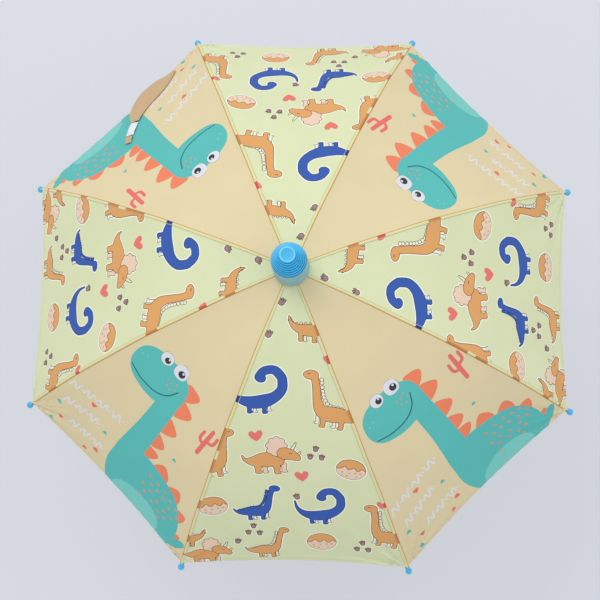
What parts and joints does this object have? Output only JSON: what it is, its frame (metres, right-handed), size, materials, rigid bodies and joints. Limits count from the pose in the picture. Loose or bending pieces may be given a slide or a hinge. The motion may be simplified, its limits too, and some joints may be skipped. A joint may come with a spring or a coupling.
{
  "type": "children's umbrella",
  "caption": "Open child-size stick umbrella: printed cloth panels on hinged ribs, a sliding runner, a crook handle and a telescoping drip cover over the tip.",
  "frame": {"origin": "on the shaft's axis, at the middle of the hand grip", "axes": "+Z along the shaft towards the tip, +X towards the crook's open end"},
  "size_m": [0.785, 0.785, 0.7182],
  "materials": {
    "steel": "bright plated steel",
    "blue_plastic": "gloss sky-blue moulding",
    "frosted_plastic": "frosted, slightly see-through moulding",
    "dark_plastic": "satin black moulding",
    "pale_plastic": "satin off-white moulding",
    "green_cloth": "pale green printed polyester",
    "beige_cloth": "sand printed polyester",
    "hook_tape": "white hook-and-loop tape"
  },
  "bodies": {
    "frame": {"shaft": "steel", "stop_pin": "steel", "crown": "dark_plastic", "crown_wire": "steel", "crown_washer": "blue_plastic", "shaft_plug": "blue_plastic", "handle": "blue_plastic", "handle_collar": "pale_plastic", "cover_ring_1": "frosted_plastic"},
    "rib_1": {"rib_1": "steel", "tip_1": "blue_plastic"},
    "stretcher_1": {"stretcher_1": "steel"},
    "rib_2": {"rib_2": "steel", "tip_2": "blue_plastic"},
    "stretcher_2": {"stretcher_2": "steel"},
    "rib_3": {"rib_3": "steel", "tip_3": "blue_plastic"},
    "stretcher_3": {"stretcher_3": "steel"},
    "rib_4": {"rib_4": "steel", "tip_4": "blue_plastic"},
    "stretcher_4": {"stretcher_4": "steel"},
    "rib_5": {"rib_5": "steel", "tip_5": "blue_plastic"},
    "stretcher_5": {"stretcher_5": "steel"},
    "rib_6": {"rib_6": "steel", "tip_6": "blue_plastic"},
    "stretcher_6": {"stretcher_6": "steel"},
    "rib_7": {"rib_7": "steel", "tip_7": "blue_plastic"},
    "stretcher_7": {"stretcher_7": "steel"},
    "rib_8": {"rib_8": "steel", "tip_8": "blue_plastic"},
    "stretcher_8": {"stretcher_8": "steel"},
    "runner": {"runner": "dark_plastic", "runner_wire": "steel"},
    "panel_1": {"panel_1": "green_cloth"},
    "panel_2": {"panel_2": "beige_cloth"},
    "panel_3": {"panel_3": "green_cloth"},
    "panel_4": {"panel_4": "beige_cloth", "closure_strap": "beige_cloth", "strap_patch": "hook_tape", "strap_tab": "beige_cloth"},
    "panel_5": {"panel_5": "green_cloth"},
    "panel_6": {"panel_6": "beige_cloth"},
    "panel_7": {"panel_7": "green_cloth"},
    "panel_8": {"panel_8": "beige_cloth"},
    "top_catch": {"top_catch": "steel"},
    "bottom_catch": {"bottom_catch": "steel"},
    "cover_ring_2": {"cover_ring_2": "blue_plastic"},
    "cover_ring_3": {"cover_ring_3": "blue_plastic"},
    "cover_ring_4": {"cover_ring_4": "blue_plastic"},
    "cover_ring_5": {"cover_ring_5": "blue_plastic"},
    "cover_ring_6": {"cover_ring_6": "blue_plastic"},
    "cover_ring_7": {"cover_ring_7": "blue_plastic"},
    "cover_cap": {"cover_cap": "blue_plastic"}
  },
  "joints": [
    {"name": "canopy_fold", "type": "hinge", "parent": "frame", "child": "rib_1", "pos_m": [0.00831, 0.00344, 0.54248], "axis": [-0.3827, 0.9239, 0], "range_deg": [0, 61.72]},
    {"name": "rib_hinge_2", "type": "hinge", "parent": "frame", "child": "rib_2", "pos_m": [0.00344, 0.00831, 0.54248], "axis": [-0.9239, 0.3827, 0], "range_deg": [0, 61.72]},
    {"name": "rib_hinge_3", "type": "hinge", "parent": "frame", "child": "rib_3", "pos_m": [-0.00344, 0.00831, 0.54248], "axis": [-0.9239, -0.3827, 0], "range_deg": [0, 61.72]},
    {"name": "rib_hinge_4", "type": "hinge", "parent": "frame", "child": "rib_4", "pos_m": [-0.00831, 0.00344, 0.54248], "axis": [-0.3827, -0.9239, 0], "range_deg": [0, 61.72]},
    {"name": "rib_hinge_5", "type": "hinge", "parent": "frame", "child": "rib_5", "pos_m": [-0.00831, -0.00344, 0.54248], "axis": [0.3827, -0.9239, 0], "range_deg": [0, 61.72]},
    {"name": "rib_hinge_6", "type": "hinge", "parent": "frame", "child": "rib_6", "pos_m": [-0.00344, -0.00831, 0.54248], "axis": [0.9239, -0.3827, 0], "range_deg": [0, 61.72]},
    {"name": "rib_hinge_7", "type": "hinge", "parent": "frame", "child": "rib_7", "pos_m": [0.00344, -0.00831, 0.54248], "axis": [0.9239, 0.3827, 0], "range_deg": [0, 61.72]},
    {"name": "rib_hinge_8", "type": "hinge", "parent": "frame", "child": "rib_8", "pos_m": [0.00831, -0.00344, 0.54248], "axis": [0.3827, 0.9239, 0], "range_deg": [0, 61.72]},
    {"name": "stretcher_hinge_1", "type": "hinge", "parent": "rib_1", "child": "stretcher_1", "pos_m": [0.20972, 0.08687, 0.47809], "axis": [-0.3827, 0.9239, 0], "range_deg": [-123.54, 0]},
    {"name": "stretcher_hinge_2", "type": "hinge", "parent": "rib_2", "child": "stretcher_2", "pos_m": [0.08687, 0.20972, 0.47809], "axis": [-0.9239, 0.3827, 0], "range_deg": [-123.54, 0]},
    {"name": "stretcher_hinge_3", "type": "hinge", "parent": "rib_3", "child": "stretcher_3", "pos_m": [-0.08687, 0.20972, 0.47809], "axis": [-0.9239, -0.3827, 0], "range_deg": [-123.54, 0]},
    {"name": "stretcher_hinge_4", "type": "hinge", "parent": "rib_4", "child": "stretcher_4", "pos_m": [-0.20972, 0.08687, 0.47809], "axis": [-0.3827, -0.9239, 0], "range_deg": [-123.54, 0]},
    {"name": "stretcher_hinge_5", "type": "hinge", "parent": "rib_5", "child": "stretcher_5", "pos_m": [-0.20972, -0.08687, 0.47809], "axis": [0.3827, -0.9239, 0], "range_deg": [-123.54, 0]},
    {"name": "stretcher_hinge_6", "type": "hinge", "parent": "rib_6", "child": "stretcher_6", "pos_m": [-0.08687, -0.20972, 0.47809], "axis": [0.9239, -0.3827, 0], "range_deg": [-123.54, 0]},
    {"name": "stretcher_hinge_7", "type": "hinge", "parent": "rib_7", "child": "stretcher_7", "pos_m": [0.08687, -0.20972, 0.47809], "axis": [0.9239, 0.3827, 0], "range_deg": [-123.54, 0]},
    {"name": "stretcher_hinge_8", "type": "hinge", "parent": "rib_8", "child": "stretcher_8", "pos_m": [0.20972, -0.08687, 0.47809], "axis": [0.3827, 0.9239, 0], "range_deg": [-123.54, 0]},
    {"name": "runner_hinge", "type": "hinge", "parent": "stretcher_1", "child": "runner", "pos_m": [0.00831, 0.00344, 0.4137], "axis": [-0.3827, 0.9239, 0], "range_deg": [0, 61.82]},
    {"name": "panel_fold_1", "type": "hinge", "parent": "frame", "child": "panel_1", "pos_m": [0.009, 0, 0.54248], "axis": [0, 1, 0], "range_deg": [0, 58.76], "deforming": ["panel_1"]},
    {"name": "panel_fold_2", "type": "hinge", "parent": "frame", "child": "panel_2", "pos_m": [0.00636, 0.00636, 0.54248], "axis": [-0.7071, 0.7071, 0], "range_deg": [0, 58.76], "deforming": ["panel_2"]},
    {"name": "panel_fold_3", "type": "hinge", "parent": "frame", "child": "panel_3", "pos_m": [0, 0.009, 0.54248], "axis": [-1, 0, 0], "range_deg": [0, 58.76], "deforming": ["panel_3"]},
    {"name": "panel_fold_4", "type": "hinge", "parent": "frame", "child": "panel_4", "pos_m": [-0.00636, 0.00636, 0.54248], "axis": [-0.7071, -0.7071, 0], "range_deg": [0, 58.76], "deforming": ["panel_4", "closure_strap", "strap_patch", "strap_tab"]},
    {"name": "panel_fold_5", "type": "hinge", "parent": "frame", "child": "panel_5", "pos_m": [-0.009, 0, 0.54248], "axis": [0, -1, 0], "range_deg": [0, 58.76], "deforming": ["panel_5"]},
    {"name": "panel_fold_6", "type": "hinge", "parent": "frame", "child": "panel_6", "pos_m": [-0.00636, -0.00636, 0.54248], "axis": [0.7071, -0.7071, 0], "range_deg": [0, 58.76], "deforming": ["panel_6"]},
    {"name": "panel_fold_7", "type": "hinge", "parent": "frame", "child": "panel_7", "pos_m": [0, -0.009, 0.54248], "axis": [1, 0, 0], "range_deg": [0, 58.76], "deforming": ["panel_7"]},
    {"name": "panel_fold_8", "type": "hinge", "parent": "frame", "child": "panel_8", "pos_m": [0.00636, -0.00636, 0.54248], "axis": [0.7071, 0.7071, 0], "range_deg": [0, 58.76], "deforming": ["panel_8"]},
    {"name": "top_catch_press", "type": "slide", "parent": "frame", "child": "top_catch", "axis": [-1, 0, 0], "range_m": [0, 0.0023], "stiffness_N_per_m": 800, "springref_m": -0.001},
    {"name": "bottom_catch_press", "type": "slide", "parent": "frame", "child": "bottom_catch", "axis": [-1, 0, 0], "range_m": [0, 0.0023], "stiffness_N_per_m": 800, "springref_m": -0.001},
    {"name": "cover_slide_2", "type": "slide", "parent": "frame", "child": "cover_ring_2", "axis": [0, 0, 1], "range_m": [0, 0.041]},
    {"name": "cover_slide_3", "type": "slide", "parent": "cover_ring_2", "child": "cover_ring_3", "axis": [0, 0, 1], "range_m": [0, 0.041]},
    {"name": "cover_slide_4", "type": "slide", "parent": "cover_ring_3", "child": "cover_ring_4", "axis": [0, 0, 1], "range_m": [0, 0.041]},
    {"name": "cover_slide_5", "type": "slide", "parent": "cover_ring_4", "child": "cover_ring_5", "axis": [0, 0, 1], "range_m": [0, 0.041]},
    {"name": "cover_slide_6", "type": "slide", "parent": "cover_ring_5", "child": "cover_ring_6", "axis": [0, 0, 1], "range_m": [0, 0.041]},
    {"name": "cover_slide_7", "type": "slide", "parent": "cover_ring_6", "child": "cover_ring_7", "axis": [0, 0, 1], "range_m": [0, 0.041]},
    {"name": "cover_slide_8", "type": "slide", "parent": "cover_ring_7", "child": "cover_cap", "axis": [0, 0, 1], "range_m": [0, 0.041]}
  ],
  "couplings": [
    {"joint": "rib_hinge_2", "follows": "canopy_fold", "ratio": 1},
    {"joint": "rib_hinge_3", "follows": "canopy_fold", "ratio": 1},
    {"joint": "rib_hinge_4", "follows": "canopy_fold", "ratio": 1},
    {"joint": "rib_hinge_5", "follows": "canopy_fold", "ratio": 1},
    {"joint": "rib_hinge_6", "follows": "canopy_fold", "ratio": 1},
    {"joint": "rib_hinge_7", "follows": "canopy_fold", "ratio": 1},
    {"joint": "rib_hinge_8", "follows": "canopy_fold", "ratio": 1},
    {"joint": "stretcher_hinge_1", "follows": "canopy_fold", "ratio": -2},
    {"joint": "stretcher_hinge_2", "follows": "canopy_fold", "ratio": -2},
    {"joint": "stretcher_hinge_3", "follows": "canopy_fold", "ratio": -2},
    {"joint": "stretcher_hinge_4", "follows": "canopy_fold", "ratio": -2},
    {"joint": "stretcher_hinge_5", "follows": "canopy_fold", "ratio": -2},
    {"joint": "stretcher_hinge_6", "follows": "canopy_fold", "ratio": -2},
    {"joint": "stretcher_hinge_7", "follows": "canopy_fold", "ratio": -2},
    {"joint": "stretcher_hinge_8", "follows": "canopy_fold", "ratio": -2},
    {"joint": "runner_hinge", "follows": "canopy_fold", "ratio": 1},
    {"joint": "panel_fold_1", "follows": "canopy_fold", "ratio": 0.9504},
    {"joint": "panel_fold_2", "follows": "canopy_fold", "ratio": 0.9504},
    {"joint": "panel_fold_3", "follows": "canopy_fold", "ratio": 0.9504},
    {"joint": "panel_fold_4", "follows": "canopy_fold", "ratio": 0.9504},
    {"joint": "panel_fold_5", "follows": "canopy_fold", "ratio": 0.9504},
    {"joint": "panel_fold_6", "follows": "canopy_fold", "ratio": 0.9504},
    {"joint": "panel_fold_7", "follows": "canopy_fold", "ratio": 0.9504},
    {"joint": "panel_fold_8", "follows": "canopy_fold", "ratio": 0.9504}
  ]
}
